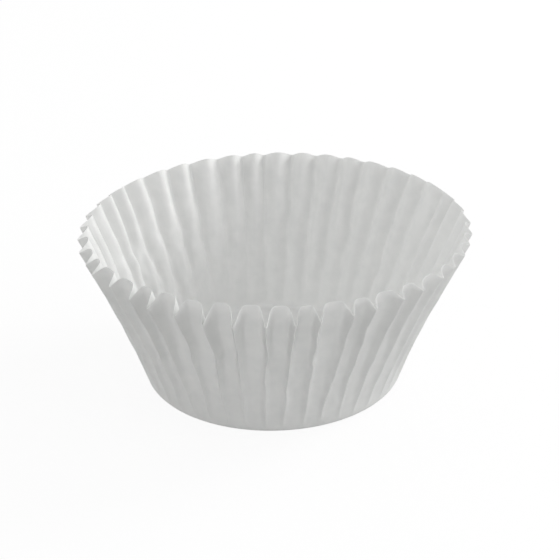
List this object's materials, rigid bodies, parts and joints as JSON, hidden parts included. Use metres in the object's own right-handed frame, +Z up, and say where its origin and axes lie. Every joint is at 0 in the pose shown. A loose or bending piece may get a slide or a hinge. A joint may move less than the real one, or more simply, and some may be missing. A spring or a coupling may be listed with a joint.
{
  "type": "cupcake liner",
  "caption": "Fluted paper baking cup with a flat round base and a flared pleated wall, open at the top, that holds one cupcake.",
  "frame": {"origin": "centre of the underside of the base, where the liner stands", "axes": "+Z up along the cup's axis, out of its open mouth; +X through the crest of a flute"},
  "size_m": [0.0752, 0.0752, 0.0308],
  "materials": {
    "paper": "matte, slightly translucent white greaseproof paper"
  },
  "bodies": {
    "root": {"liner": "paper"}
  },
  "joints": []
}
